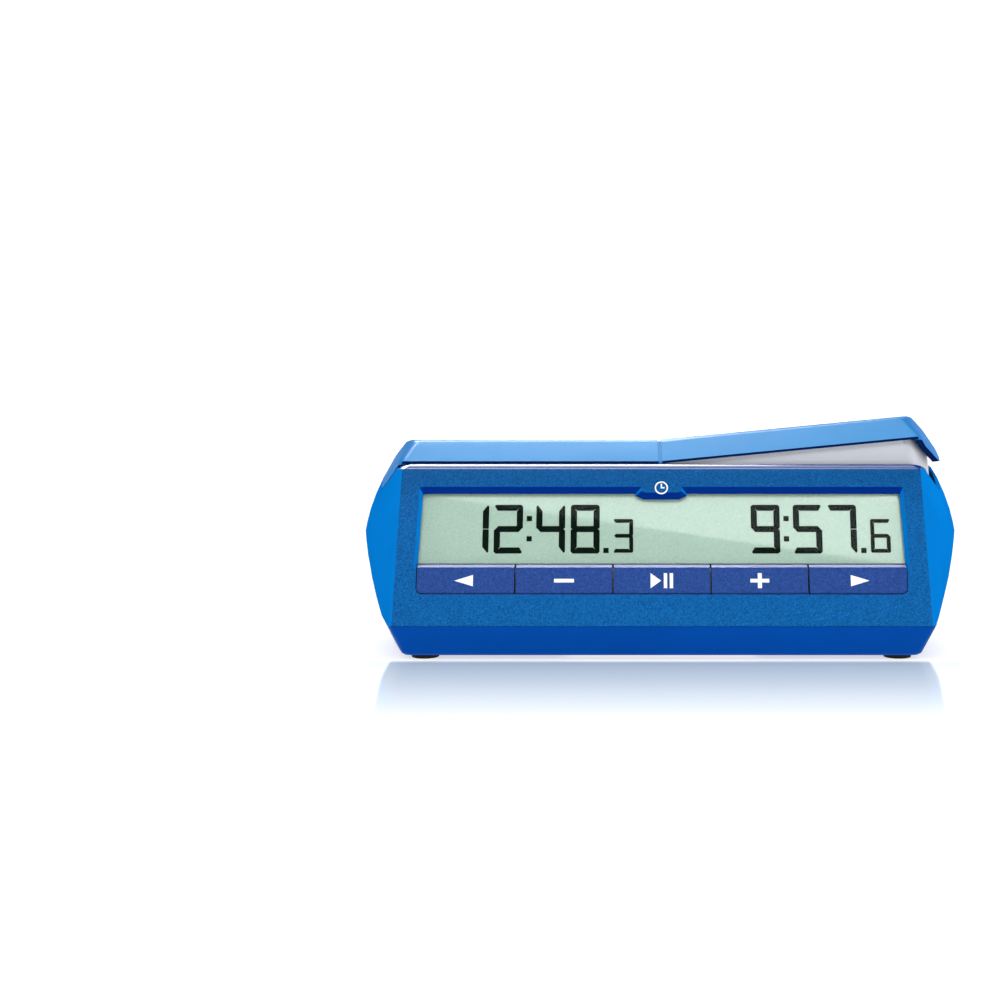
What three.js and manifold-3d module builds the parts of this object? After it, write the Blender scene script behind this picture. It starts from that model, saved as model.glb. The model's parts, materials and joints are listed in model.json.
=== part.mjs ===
// Digital tournament chess clock: a tapered two-shell housing, a rocking lever bar on top,
// a wide display in the tilted front face and a row of five keys under it.
// Millimetres, +X to the right, +Y to the back, +Z up. The feet stand on z = 0.
import * as THREE from 'three';
import { mergeVertices } from 'three/addons/utils/BufferGeometryUtils.js';
import Module from 'manifold-3d';

const wasm = await Module();
wasm.setup();

// ---------- driving dimensions ----------
const TOLERANCE = 0.004;            // edges shorter than this are merged
const GAP = 0.3;                    // air between neighbouring pieces
const WALL = 2.5;                   // housing wall, measured level
const THIN_WALL = 1.2;              // side wall beside the lever's ends
const BASE_Z = 1.6;                 // underside of the base, above the feet
const CREASE_Z = 13.4;              // seam between the base and the upper housing
const WIDEST_Z = 45.5;              // height of the widest line of the sides
const SHOULDER_Z = 70.4;            // top edge of the tilted faces
const RIM_Z = 72;                   // top of the rim around the lever opening
const RIM_CHAMFER = 2.1;            // level width of the chamfer between them
const BASE_HALF_DEPTH = 25;
const CREASE_HALF_DEPTH = 31;
const SHOULDER_HALF_DEPTH = 11.1;
const BASE_CORNER_X = 96.3;         // front corners of the plan outline
const CREASE_CORNER_X = 100.8;
const SHOULDER_CORNER_X = 98.7;
const BASE_SIDE_X = 103.5;          // the side's furthest point at the underside
const CREASE_SIDE_X = 109.3;
const WIDEST_SIDE_X = 115.5;
const SIDE_RIDGE_Y = 4;             // the sides are widest a little behind the middle
const REAR_TAPER = 0.08;            // how much the sides close in behind that ridge

const LEVER_EDGE_Z = 73.2;          // lower edge of the lever's sloping faces
const LEVER_SKIRT_Z = 72.3;         // underside of the lever cover
const LEVER_FACET_Z = 80.2;         // where the sloping faces meet the crown
const LEVER_TOP_Z = 81;
const LEVER_EDGE_Y = 8.7;
const LEVER_SKIRT_Y = 8.25;
const LEVER_FACET_Y = 3;
const LEVER_CROWN_Y = 1.6;
const LEVER_EDGE_X = 99;
const LEVER_TOP_X = 94.3;
const LEVER_TOP_SIDE_X = 97.2;
const COVER_WALL = 1.7;
const END_WALL = 2.3;
const ROCK = THREE.MathUtils.degToRad(5.5);
const PIVOT_Z = 68;
const NOTCH_BOTTOM_Z = 61.6;        // lowest point of the V cut in each side
const NOTCH_SLOPE = 0.865;          // its half-width gained per millimetre of height
const NOTCH_START_X = 95;
const CORE_Y = 6.7;
const CORE_CORNER_X = 95.8;
const CORE_SIDE_X = 103.6;
const CORE_TOP_Z = 77.4;
const CORE_MID_Z = 60;              // underside of the core at the pivot
const CORE_END_Z = 52;              // and at its ends

const DISPLAY_HALF_X = 91;          // clear opening, in the plane of the front face
const DISPLAY_TOP_HALF_X = 89.8;
const DISPLAY_LOW = 24.1;
const DISPLAY_HIGH = 51.25;
const DISPLAY_DEPTH = 2;            // window surface below the face
const DISPLAY_BEVEL = 2.1;          // slope of the opening's upper wall
const DISPLAY_SIDE_BEVEL = 1.15;    // its side walls are steeper
const TAB_TOP_X = 9.6;              // the tab in the middle of its upper edge
const TAB_END_X = 7.3;
const TAB_STEP = 0.9;               // its sides start straight down, then slope
const TAB_DROP = 2.2;
const RECESS_DEPTH = 5;             // the cut goes right through the wall
const KEYS_HALF_X = 91.2;
const KEYS_LOW = 12.1;
const KEY_HIGH = 23.8;
const KEY_FACE_HIGH = 22.4;
const KEY_PITCH = 36.3;
const KEY_NAMES = ['button_back', 'button_minus', 'button_start', 'button_plus', 'button_forward'];
const BOARD_DEPTH = 7.4;            // front of the main board below the face
const BOARD_THICK = 1.6;
const BOARD_HIGH = 43.5;
const BOARD_POST_X = 94.7;
const BOARD_POSTS = [17, 39];

const CELL_RADIUS = 7.1;
const CELL_LENGTH = 50.4;
const CELL_Y = 9.5;
const CELL_Z = 12.3;
const FLOOR_Z = 4.6;                // upper side of the base floor
const LID_HALF_X = 55;
const LID_FRONT_Y = 0.6;
const LID_TOP_Z = 3.4;
const FOOT_X = 88.9;
const FOOT_Y = 18;
const FOOT_RADIUS = 5.2;
const SCREW_X = 76;
const SCREW_Y = 17;
const SWITCH_X = -74;

// ---------- materials ----------
function plastic(color, roughness) {
  return new THREE.MeshStandardMaterial({ color, roughness, metalness: 0 });
}

function metal(color, roughness) {
  return new THREE.MeshStandardMaterial({ color, roughness, metalness: 1 });
}

const housingBlue = plastic(0x0f5fa6, 0.5);
const baseBlue = plastic(0x02459f, 0.35);
const leverBlue = plastic(0x3a86cc, 0.3);
const keyBlue = plastic(0x33519a, 0.5);
const leverWhite = plastic(0xd5d8dc, 0.45);
const blackPlastic = plastic(0x17181a, 0.6);
const rubberBlack = plastic(0x121212, 0.85);
const siliconeGrey = plastic(0x8f9499, 0.7);
const boardGreen = plastic(0x1c5b34, 0.5);
const displayGreen = plastic(0xb9d0c1, 0.2);
const labelSilver = plastic(0xb9bcc0, 0.5);
const cellGold = plastic(0xb88a2c, 0.35);
const steel = metal(0xb7babd, 0.3);
const brass = metal(0xc9a24a, 0.35);
const clearWindow = new THREE.MeshStandardMaterial({
  color: 0xe8f2ee, roughness: 0.05, metalness: 0, transparent: true, opacity: 0.3,
});

// ---------- solids ----------
function toSolid(geometry) {
  const bare = geometry.clone();
  bare.deleteAttribute('normal');
  bare.deleteAttribute('uv');
  const merged = mergeVertices(bare, 1e-4);
  return new wasm.Manifold(new wasm.Mesh({
    numProp: 3,
    vertProperties: new Float32Array(merged.attributes.position.array),
    triVerts: new Uint32Array(merged.index.array),
  }));
}

function toGeometry(solid) {
  const mesh = solid.simplify(TOLERANCE).getMesh();
  const geometry = new THREE.BufferGeometry();
  geometry.setAttribute('position', new THREE.BufferAttribute(mesh.vertProperties, 3));
  geometry.setIndex(new THREE.BufferAttribute(mesh.triVerts, 1));
  geometry.computeVertexNormals();
  return geometry;
}

function box(x0, x1, y0, y1, z0, z1) {
  const geometry = new THREE.BoxGeometry(x1 - x0, y1 - y0, z1 - z0);
  return geometry.translate((x0 + x1) / 2, (y0 + y1) / 2, (z0 + z1) / 2);
}

function pinZ(radius, x, y, z0, z1, sides = 16) {
  const geometry = new THREE.CylinderGeometry(radius, radius, z1 - z0, sides);
  return geometry.rotateX(Math.PI / 2).translate(x, y, (z0 + z1) / 2);
}

function pinY(radius, x, y0, y1, z, sides = 16) {
  const geometry = new THREE.CylinderGeometry(radius, radius, y1 - y0, sides);
  return geometry.translate(x, (y0 + y1) / 2, z);
}

// An outline drawn in (y, z) and extruded along X.
function prismX(points, x0, x1) {
  const shape = new THREE.Shape(points.map(([y, z]) => new THREE.Vector2(y, z)));
  const geometry = new THREE.ExtrudeGeometry(shape, { depth: x1 - x0, bevelEnabled: false });
  const turn = new THREE.Matrix4().makeBasis(
    new THREE.Vector3(0, 1, 0), new THREE.Vector3(0, 0, 1), new THREE.Vector3(1, 0, 0));
  return geometry.applyMatrix4(turn).translate(x0, 0, 0);
}

// An outline drawn in (x, z) and extruded along Y.
function prismY(points, y0, y1) {
  const shape = new THREE.Shape(points.map(([x, z]) => new THREE.Vector2(x, z)));
  const geometry = new THREE.ExtrudeGeometry(shape, { depth: y1 - y0, bevelEnabled: false });
  return geometry.rotateX(Math.PI / 2).translate(0, y1, 0);
}

function extrude(shape, z0, z1, curveSegments = 5) {
  const settings = { depth: z1 - z0, bevelEnabled: false, curveSegments };
  return new THREE.ExtrudeGeometry(shape, settings).translate(0, 0, z0);
}

function roundedRectangle(x0, x1, y0, y1, radius) {
  const shape = new THREE.Shape();
  shape.moveTo(x0 + radius, y0);
  shape.lineTo(x1 - radius, y0);
  shape.absarc(x1 - radius, y0 + radius, radius, -Math.PI / 2, 0);
  shape.lineTo(x1, y1 - radius);
  shape.absarc(x1 - radius, y1 - radius, radius, 0, Math.PI / 2);
  shape.lineTo(x0 + radius, y1);
  shape.absarc(x0 + radius, y1 - radius, radius, Math.PI / 2, Math.PI);
  shape.lineTo(x0, y0 + radius);
  shape.absarc(x0 + radius, y0 + radius, radius, Math.PI, Math.PI * 1.5);
  return shape;
}

// ---------- the outer form: rounded six-sided plan outlines, one above another ----------
function mix(value, from, to, a, b) {
  return THREE.MathUtils.lerp(a, b, (value - from) / (to - from));
}

function bodyHalfDepth(z) {
  if (z < CREASE_Z) return mix(z, BASE_Z, CREASE_Z, BASE_HALF_DEPTH, CREASE_HALF_DEPTH);
  return mix(z, CREASE_Z, SHOULDER_Z, CREASE_HALF_DEPTH, SHOULDER_HALF_DEPTH);
}

function bodyCornerX(z) {
  if (z < CREASE_Z) return mix(z, BASE_Z, CREASE_Z, BASE_CORNER_X, CREASE_CORNER_X);
  return mix(z, CREASE_Z, SHOULDER_Z, CREASE_CORNER_X, SHOULDER_CORNER_X);
}

function sideX(z) {
  if (z < CREASE_Z) return mix(z, BASE_Z, CREASE_Z, BASE_SIDE_X, CREASE_SIDE_X);
  const rise = z - WIDEST_Z;
  if (rise < 0) return WIDEST_SIDE_X + 0.047 * rise - 0.0046 * rise * rise;
  return WIDEST_SIDE_X - 0.186 * rise - 0.0088 * rise * rise;
}

function planOutline(cornerX, halfDepth, ridgeX, ridgeY) {
  const rearX = ridgeX - REAR_TAPER * (halfDepth - ridgeY);
  return [
    [cornerX, -halfDepth], [ridgeX, ridgeY], [rearX, halfDepth],
    [-rearX, halfDepth], [-ridgeX, ridgeY], [-cornerX, -halfDepth],
  ].map(([x, y]) => new THREE.Vector2(x, y));
}

// Moves each side of a convex outline inward; side i runs from point i to the next one.
function insetOutline(points, distances) {
  const sides = points.map((start, i) => {
    const along = points[(i + 1) % points.length].clone().sub(start).normalize();
    const inward = new THREE.Vector2(-along.y, along.x);
    return { start: start.clone().addScaledVector(inward, distances[i]), along };
  });
  return points.map((_, i) => {
    const before = sides[(i + points.length - 1) % points.length];
    const after = sides[i];
    const reach = after.start.clone().sub(before.start).cross(after.along);
    return before.start.clone().addScaledVector(before.along, reach / before.along.cross(after.along));
  });
}

function roundOutline(points, radii, segments) {
  const rounded = [];
  points.forEach((corner, i) => {
    const before = points[(i + points.length - 1) % points.length];
    const after = points[(i + 1) % points.length];
    const back = before.clone().sub(corner);
    const ahead = after.clone().sub(corner);
    const start = corner.clone().addScaledVector(back, Math.min(radii[i] / back.length(), 0.45));
    const end = corner.clone().addScaledVector(ahead, Math.min(radii[i] / ahead.length(), 0.45));
    rounded.push(...new THREE.QuadraticBezierCurve(start, corner, end).getPoints(segments));
  });
  return rounded;
}

const CORNER_RADII = [2.5, 7, 3, 3, 7, 2.5];

function ring(outline, z, segments = 3) {
  return roundOutline(outline, CORNER_RADII, segments).map((p) => new THREE.Vector3(p.x, p.y, z));
}

// Joins rings of equal length into one closed solid. Point i of a ring mirrors point
// count - 1 - i, so each end is closed by strips that run straight across.
function loft(rings) {
  const count = rings[0].length;
  const indices = [];
  for (let level = 0; level < rings.length - 1; level += 1) {
    for (let i = 0; i < count; i += 1) {
      const low = level * count;
      const high = low + count;
      const next = (i + 1) % count;
      indices.push(low + i, low + next, high + next, low + i, high + next, high + i);
    }
  }
  const top = (rings.length - 1) * count;
  for (let i = 0; i < count / 2 - 1; i += 1) {
    const across = count - 1 - i;
    indices.push(i + 1, i, across, i + 1, across, across - 1);
    indices.push(top + i, top + i + 1, top + across, top + i + 1, top + across - 1, top + across);
  }
  const geometry = new THREE.BufferGeometry().setFromPoints(rings.flat());
  geometry.setIndex(indices);
  return geometry;
}

function bodyOutline(z) {
  return planOutline(bodyCornerX(z), bodyHalfDepth(z), sideX(z), SIDE_RIDGE_Y);
}

function bodyRing(z, level, side = level) {
  const distances = [side, side, level, side, side, level];
  return ring(insetOutline(bodyOutline(z), distances), z);
}

function atHeight(points, z) {
  return points.map((p) => new THREE.Vector3(p.x, p.y, z));
}

// ---------- frame of the tilted front face: x, up the face, outward ----------
const FACE_LEAN = Math.atan2(CREASE_HALF_DEPTH - SHOULDER_HALF_DEPTH, SHOULDER_Z - CREASE_Z);
const faceMatrix = new THREE.Matrix4().makeRotationX(Math.PI / 2 - FACE_LEAN)
  .setPosition(0, -CREASE_HALF_DEPTH, CREASE_Z);

function onFace(geometry) {
  return toSolid(geometry.applyMatrix4(faceMatrix));
}

// Outline of the tab that hangs from the middle of the display opening's upper edge.
function tabPoints(margin) {
  const high = DISPLAY_HIGH - margin;
  return [
    [TAB_TOP_X + margin, high], [TAB_TOP_X + margin, high - TAB_STEP],
    [TAB_END_X + margin, high - TAB_DROP], [-TAB_END_X - margin, high - TAB_DROP],
    [-TAB_TOP_X - margin, high - TAB_STEP], [-TAB_TOP_X - margin, high],
  ];
}

function displayOutline(margin) {
  const right = DISPLAY_HALF_X - margin;
  const rightTop = DISPLAY_TOP_HALF_X - margin;
  const low = DISPLAY_LOW + margin;
  const high = DISPLAY_HIGH - margin;
  const points = [[-right, low], [right, low], [rightTop, high], ...tabPoints(margin), [-rightTop, high]];
  return new THREE.Shape(points.map(([x, y]) => new THREE.Vector2(x, y)));
}

// The opening at one height, widened by a share of the slope of its four walls.
function displayRing(widened, z) {
  const low = DISPLAY_LOW - widened * DISPLAY_BEVEL;
  const high = DISPLAY_HIGH + widened * DISPLAY_BEVEL;
  const side = widened * DISPLAY_SIDE_BEVEL;
  const corners = [
    [DISPLAY_HALF_X + side, low], [DISPLAY_TOP_HALF_X + side, high],
    [-DISPLAY_TOP_HALF_X - side, high], [-DISPLAY_HALF_X - side, low],
  ].map(([x, y]) => new THREE.Vector2(x, y));
  return atHeight(roundOutline(corners, [0.4, 1, 1, 0.4], 3), z);
}

// The tab is smallest at the face and spreads to its full outline at the window.
function displayTab() {
  const high = DISPLAY_HIGH + 8;
  const topX = TAB_TOP_X - DISPLAY_BEVEL;
  const endX = TAB_END_X - DISPLAY_BEVEL / 2;
  const step = DISPLAY_HIGH - TAB_DROP + DISPLAY_BEVEL;
  const shape = new THREE.Shape([
    [topX, high], [-topX, high], [-topX, step + 0.6], [-endX, step], [endX, step], [topX, step + 0.6],
  ].map(([x, y]) => new THREE.Vector2(x, y)));
  const geometry = new THREE.ExtrudeGeometry(shape, {
    depth: RECESS_DEPTH, bevelEnabled: true, bevelSegments: 1,
    bevelThickness: DISPLAY_DEPTH, bevelSize: DISPLAY_BEVEL,
  });
  return geometry.translate(0, 0, -RECESS_DEPTH - DISPLAY_DEPTH);
}

function displayRecess() {
  const levels = [[0, -RECESS_DEPTH], [0, -DISPLAY_DEPTH], [2, DISPLAY_DEPTH]];
  const rings = levels.map(([widened, z]) => displayRing(widened, z));
  return onFace(loft(rings)).subtract(onFace(displayTab()));
}

// ---------- upper housing ----------
function notchOutline(margin) {
  const low = NOTCH_BOTTOM_Z + margin * Math.hypot(1, NOTCH_SLOPE) / NOTCH_SLOPE;
  const high = 76;
  const half = [[(high - low) * NOTCH_SLOPE, high], [0.75, low + 0.7], [0.3, low + 0.45]];
  return [...half, ...half.map(([y, z]) => [-y, z]).reverse()];
}

function notch(margin, reachIn) {
  const right = toSolid(prismX(notchOutline(margin), reachIn, 125));
  return right.add(toSolid(prismX(notchOutline(margin), -125, -reachIn)));
}

function upperShell() {
  const levels = [CREASE_Z + GAP, 20, 28, 36, 42, WIDEST_Z, 49, 54, 60, 66, SHOULDER_Z];
  const outer = levels.map((z) => bodyRing(z, 0));
  outer.push(atHeight(bodyRing(SHOULDER_Z, RIM_CHAMFER), RIM_Z));
  const inner = levels.map((z) => bodyRing(z, WALL, z < 58 ? WALL : THIN_WALL));
  inner.unshift(atHeight(bodyRing(CREASE_Z, WALL), CREASE_Z - 2));
  inner.push(atHeight(bodyRing(SHOULDER_Z, WALL, THIN_WALL), RIM_Z + 3));
  return { outer: toSolid(loft(outer)), inner: toSolid(loft(inner)) };
}

function upperHousing() {
  const { outer, inner } = upperShell();
  let solid = outer.subtract(inner).subtract(displayRecess()).subtract(notch(0, NOTCH_START_X));
  const keySlot = roundedRectangle(-KEYS_HALF_X, KEYS_HALF_X, KEYS_LOW, 33, 2.4);
  const keySlotTop = onFace(box(-KEYS_HALF_X, KEYS_HALF_X, DISPLAY_LOW + 0.1, 40, -9, 9));
  solid = solid.subtract(onFace(extrude(keySlot, -6, 2)).subtract(keySlotTop));
  let inside = toSolid(pinY(3.3, 0, 7.2, 12, PIVOT_Z)).add(toSolid(pinY(3.3, 0, -12, -7.2, PIVOT_Z)));
  for (const x of [-SCREW_X, SCREW_X]) {
    for (const side of [-1, 1]) {
      const rib = box(x - 1, x + 1, side < 0 ? -30 : SCREW_Y, side < 0 ? -SCREW_Y : 30, CREASE_Z + GAP, 21);
      inside = inside.add(toSolid(pinZ(3.6, x, side * SCREW_Y, CREASE_Z + GAP, 21))).add(toSolid(rib));
    }
  }
  for (const x of [-BOARD_POST_X, BOARD_POST_X]) {
    for (const up of BOARD_POSTS) {
      inside = inside.add(onFace(pinZ(2.1, x, up, GAP - BOARD_DEPTH, -1)));
    }
  }
  inside = inside.add(toSolid(box(-28, 28, -2, 20, 52, 54)));
  solid = solid.add(inside.intersect(outer));
  for (const x of [-SCREW_X, SCREW_X]) {
    for (const y of [-SCREW_Y, SCREW_Y]) solid = solid.subtract(toSolid(pinZ(1.8, x, y, 10, 18.8)));
  }
  for (const x of [-BOARD_POST_X, BOARD_POST_X]) {
    for (const up of BOARD_POSTS) solid = solid.subtract(onFace(pinZ(1.2, x, up, -9, -3)));
  }
  return solid.subtract(toSolid(pinY(1.8, 0, -9.8, 9.8, PIVOT_Z)));
}

// ---------- base ----------
function lidOutline(margin) {
  const low = LID_HALF_X + margin;
  const high = LID_HALF_X + 1.4 + margin;
  return [[-low, BASE_Z - 1], [low, BASE_Z - 1], [high, LID_TOP_Z + margin], [-high, LID_TOP_Z + margin]];
}

function baseHousing() {
  const outer = [bodyRing(BASE_Z + 0.8, 0), bodyRing(CREASE_Z, 0)];
  outer.unshift(atHeight(bodyRing(BASE_Z, 0.8), BASE_Z));
  const inner = [atHeight(bodyRing(FLOOR_Z, WALL), FLOOR_Z), bodyRing(CREASE_Z, WALL)];
  inner.push(atHeight(bodyRing(CREASE_Z, WALL), CREASE_Z + 2));
  let solid = toSolid(loft(outer)).subtract(toSolid(loft(inner)));
  for (const y of [-0.7, CELL_Y + CELL_RADIUS + 0.6]) {
    solid = solid.add(toSolid(box(-56, 56, y, y + 1.6, FLOOR_Z - 1, 12.5)));
  }
  for (const x of [-56, 54.4]) solid = solid.add(toSolid(box(x, x + 1.6, -0.7, 18.8, FLOOR_Z - 1, 12.5)));
  for (const x of [-SCREW_X, SCREW_X]) {
    for (const y of [-SCREW_Y, SCREW_Y]) {
      solid = solid.add(toSolid(pinZ(4.4, x, y, FLOOR_Z - 1, CREASE_Z)));
      solid = solid.subtract(toSolid(pinZ(1.9, x, y, 0, 15)));
      solid = solid.subtract(toSolid(pinZ(3.3, x, y, 0, 5.4)));
    }
  }
  for (const x of [-FOOT_X, FOOT_X]) {
    for (const y of [-FOOT_Y, FOOT_Y]) {
      solid = solid.subtract(toSolid(pinZ(FOOT_RADIUS + GAP, x, y, 0, 3)));
    }
  }
  const bay = box(-54.4, 54.4, 0.9, CELL_Y + CELL_RADIUS + 0.6, 0, 12.5);
  const lidSlot = prismY(lidOutline(0.35), LID_FRONT_Y - 0.35, 40);
  const labelRecess = extrude(roundedRectangle(-36.4, 36.4, -20.9, -6.1, 1.5), 0, BASE_Z + 0.8);
  const switchRecess = extrude(roundedRectangle(SWITCH_X - 8, SWITCH_X + 8, -4, 4, 2), 0, BASE_Z + 1.3);
  solid = solid.subtract(toSolid(bay)).subtract(toSolid(lidSlot));
  solid = solid.subtract(toSolid(labelRecess)).subtract(toSolid(switchRecess));
  return solid.subtract(toSolid(box(SWITCH_X - 4.2, SWITCH_X + 4.2, -1.6, 1.6, 0, 8)));
}

function batteryLid() {
  let solid = toSolid(prismY(lidOutline(0), LID_FRONT_Y, 24.4));
  solid = solid.intersect(toSolid(box(-80, 80, 0, 40, BASE_Z, 20)));
  for (let i = 0; i < 4; i += 1) {
    const y = 16.6 + i * 1.8;
    solid = solid.subtract(toSolid(box(-9, 9, y, y + 0.9, BASE_Z - 1, BASE_Z + 0.6)));
  }
  return solid;
}

// ---------- lever bar: each half is made as it lies when pressed, the right one is then raised ----------
function leverOutline(z) {
  const corner = mix(z, LEVER_EDGE_Z, LEVER_FACET_Z, LEVER_EDGE_X, LEVER_TOP_X);
  const depth = mix(z, LEVER_EDGE_Z, LEVER_FACET_Z, LEVER_EDGE_Y, LEVER_FACET_Y);
  const ridgeY = mix(z, LEVER_EDGE_Z, LEVER_FACET_Z, 3.6, 1.2);
  const ridgeX = Math.min(sideX(z), mix(z, 74, LEVER_TOP_Z, 103.4, LEVER_TOP_SIDE_X));
  return planOutline(corner, depth, ridgeX, ridgeY);
}

function leverRing(z, level, side) {
  return ring(insetOutline(leverOutline(z), [side, side, level, side, side, level]), z);
}

function crownRing(z, inset) {
  const depth = mix(z, LEVER_FACET_Z, LEVER_TOP_Z, LEVER_FACET_Y, LEVER_CROWN_Y);
  const corner = mix(z, LEVER_FACET_Z, LEVER_TOP_Z, LEVER_TOP_X, LEVER_TOP_X - 0.9);
  const side = mix(z, LEVER_FACET_Z, LEVER_TOP_Z, 97.9, 95.8);
  return ring(planOutline(corner - inset, depth, side - inset, 0.6), z);
}

function leverForm(skin, level, side, top) {
  const tongue = [54, 60, 66, LEVER_SKIRT_Z - 0.6].map((z) => bodyRing(z, 0, side));
  const lip = bodyHalfDepth(LEVER_SKIRT_Z) - LEVER_SKIRT_Y + Math.max(0, level - 0.45);
  const skirt = insetOutline(bodyOutline(LEVER_SKIRT_Z), [side, side, lip, side, side, lip]);
  const faces = [LEVER_EDGE_Z, 75.5, 77.8].map((z) => leverRing(z, level, side));
  const rings = [...tongue, ring(skirt, LEVER_SKIRT_Z - 0.25), ...faces];
  if (skin) rings.push(leverRing(LEVER_FACET_Z, 0, 0), crownRing(80.75, 0), crownRing(LEVER_TOP_Z, 0.3));
  else rings.push(leverRing(top, level, side));
  return toSolid(loft(rings));
}

function bothHalves(half) {
  const left = half.intersect(toSolid(box(-130, 1.2, -60, 60, 0, 120)));
  const right = half.intersect(toSolid(box(-0.6, 130, -60, 60, 0, 120)));
  const raise = new THREE.Matrix4().makeTranslation(0, 0, PIVOT_Z)
    .multiply(new THREE.Matrix4().makeRotationY(-ROCK))
    .multiply(new THREE.Matrix4().makeTranslation(0, 0, -PIVOT_Z));
  return left.add(toSolid(toGeometry(right).applyMatrix4(raise)));
}

function leverCover() {
  const skin = leverForm(true, 0, 0);
  const above = toSolid(box(-130, 130, -60, 60, LEVER_SKIRT_Z, 100));
  const cavity = leverForm(false, COVER_WALL, END_WALL, 79.2);
  const shell = skin.intersect(above.add(notch(GAP, NOTCH_START_X + 0.6))).subtract(cavity);
  const grooveSlab = box(-0.7, 0.7, -20, 20, 60, 100);
  grooveSlab.translate(0, 0, -PIVOT_Z).rotateY(-ROCK / 2).translate(0, 0, PIVOT_Z);
  const grooveFloor = leverForm(false, 0.55, 0.5, 80.4);
  return bothHalves(shell).subtract(toSolid(grooveSlab).subtract(grooveFloor));
}

function coreOutline(z, inset) {
  const ridge = Math.min(CORE_SIDE_X, sideX(z) - END_WALL - 1.1);
  const depth = z <= LEVER_EDGE_Z ? CORE_Y : mix(z, LEVER_EDGE_Z, LEVER_FACET_Z, CORE_Y, 0.95);
  const corner = Math.min(CORE_CORNER_X, ridge - 5.2);
  return insetOutline(planOutline(corner, depth, ridge, 2.5 * depth / CORE_Y), Array(6).fill(inset));
}

function leverCore() {
  const levels = [50, 58, 64, 68, LEVER_EDGE_Z, 75.4, CORE_TOP_Z];
  const outer = toSolid(loft(levels.map((z) => ring(coreOutline(z, 0), z))));
  const hollowLevels = [48, 58, 64, 68, LEVER_EDGE_Z, 75];
  const hollow = toSolid(loft(hollowLevels.map((z) => ring(coreOutline(z, 1.8), z))));
  const under = [[0, CORE_MID_Z], [110, CORE_END_Z], [110, 30], [-110, 30], [-110, CORE_END_Z]];
  const trim = toSolid(prismY(under, -30, 30));
  const ribs = [-70, -35, 35, 70].map((x) => toSolid(box(x - 0.8, x + 0.8, -CORE_Y, CORE_Y, 63, 76)));
  let half = outer.subtract(hollow);
  for (const rib of ribs) half = half.add(rib.intersect(outer));
  const solid = bothHalves(half.subtract(trim));
  const hub = toSolid(box(-5, 5, -CORE_Y, CORE_Y, CORE_MID_Z, LEVER_EDGE_Z - GAP));
  return solid.add(hub).subtract(toSolid(pinY(1.85, 0, -20, 20, PIVOT_Z)));
}

function raisedPoint(x, z) {
  const point = new THREE.Vector2(x, z - PIVOT_Z).rotateAround(new THREE.Vector2(), ROCK);
  return [point.x, point.y + PIVOT_Z];
}

function magnet(x, z, turn) {
  return new THREE.CylinderGeometry(2.4, 2.4, 3, 16).rotateZ(turn).translate(x, 0, z);
}

function detentSpring() {
  const outer = [];
  const inner = [];
  for (let i = 0; i <= 12; i += 1) {
    const x = -24 + 4 * i;
    const lift = 5 * Math.cos(Math.PI * x / 48) ** 2;
    outer.push([x, 54.7 + lift]);
    inner.unshift([x, 54.3 + lift]);
  }
  return prismY([...inner, ...outer], -2, 2);
}

// ---------- display and keys, drawn flat in the face frame ----------
function displayWindow() {
  const flange = 1.3;
  const right = DISPLAY_HALF_X + flange;
  const pane = toSolid(extrude(displayOutline(0.25), -3.4, -DISPLAY_DEPTH));
  return pane.add(toSolid(box(-right, right, DISPLAY_LOW + 0.25, DISPLAY_HIGH + flange, -3.6, -2.75)));
}

function displayFrame() {
  const outer = box(-92.2, 92.2, 24.8, 52, -7.1, -6.5);
  return toSolid(outer).subtract(toSolid(box(-88, 88, 28.5, 49, -8, -6)));
}

function keyCap(index) {
  const middle = (index - 2) * KEY_PITCH;
  const left = index === 0 ? -KEYS_HALF_X + GAP : middle - KEY_PITCH / 2 + GAP;
  const right = index === 4 ? KEYS_HALF_X - GAP : middle + KEY_PITCH / 2 - GAP;
  const low = KEYS_LOW + GAP;
  const corner = 2.2;
  const shape = new THREE.Shape();
  shape.moveTo(left + (index === 0 ? corner : 0), low);
  shape.lineTo(right - (index === 4 ? corner : 0), low);
  if (index === 4) shape.absarc(right - corner, low + corner, corner, -Math.PI / 2, 0);
  shape.lineTo(right, KEY_HIGH);
  shape.lineTo(left, KEY_HIGH);
  if (index === 0) shape.absarc(left + corner, low + corner, corner, Math.PI, Math.PI * 1.5);
  const profile = prismX([
    [low, -5], [low, -0.35], [low + 0.35, 0], [KEY_FACE_HIGH, 0], [KEY_HIGH, -1.9], [KEY_HIGH, -5],
  ], left - 1, right + 1);
  const cap = toSolid(extrude(shape, -3.9, 1)).intersect(toSolid(profile));
  const flange = toSolid(box(left + 2.5, right - 2.5, low - 1.1, low + 1, -3.6, -2.75));
  const stem = toSolid(box(middle - 3, middle + 3, 15, 21, -4.2, -3));
  return cap.add(flange).add(stem);
}

function keyMembrane() {
  let solid = toSolid(box(-88, 88, 13, 23.6, -7.1, -6.3));
  for (let i = 0; i < 5; i += 1) {
    const dome = new THREE.CylinderGeometry(2.6, 4.2, 1.4, 12).rotateX(Math.PI / 2);
    solid = solid.add(toSolid(dome.translate((i - 2) * KEY_PITCH, 18, -5.9)));
  }
  return solid;
}

function mainBoard() {
  const back = -BOARD_DEPTH - BOARD_THICK;
  let solid = toSolid(box(-96.4, 96.4, 13, BOARD_HIGH, back, -BOARD_DEPTH));
  for (const x of [-BOARD_POST_X, BOARD_POST_X]) {
    for (const up of BOARD_POSTS) solid = solid.subtract(toSolid(pinZ(1.25, x, up, back - 1, 0)));
  }
  return solid;
}

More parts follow.
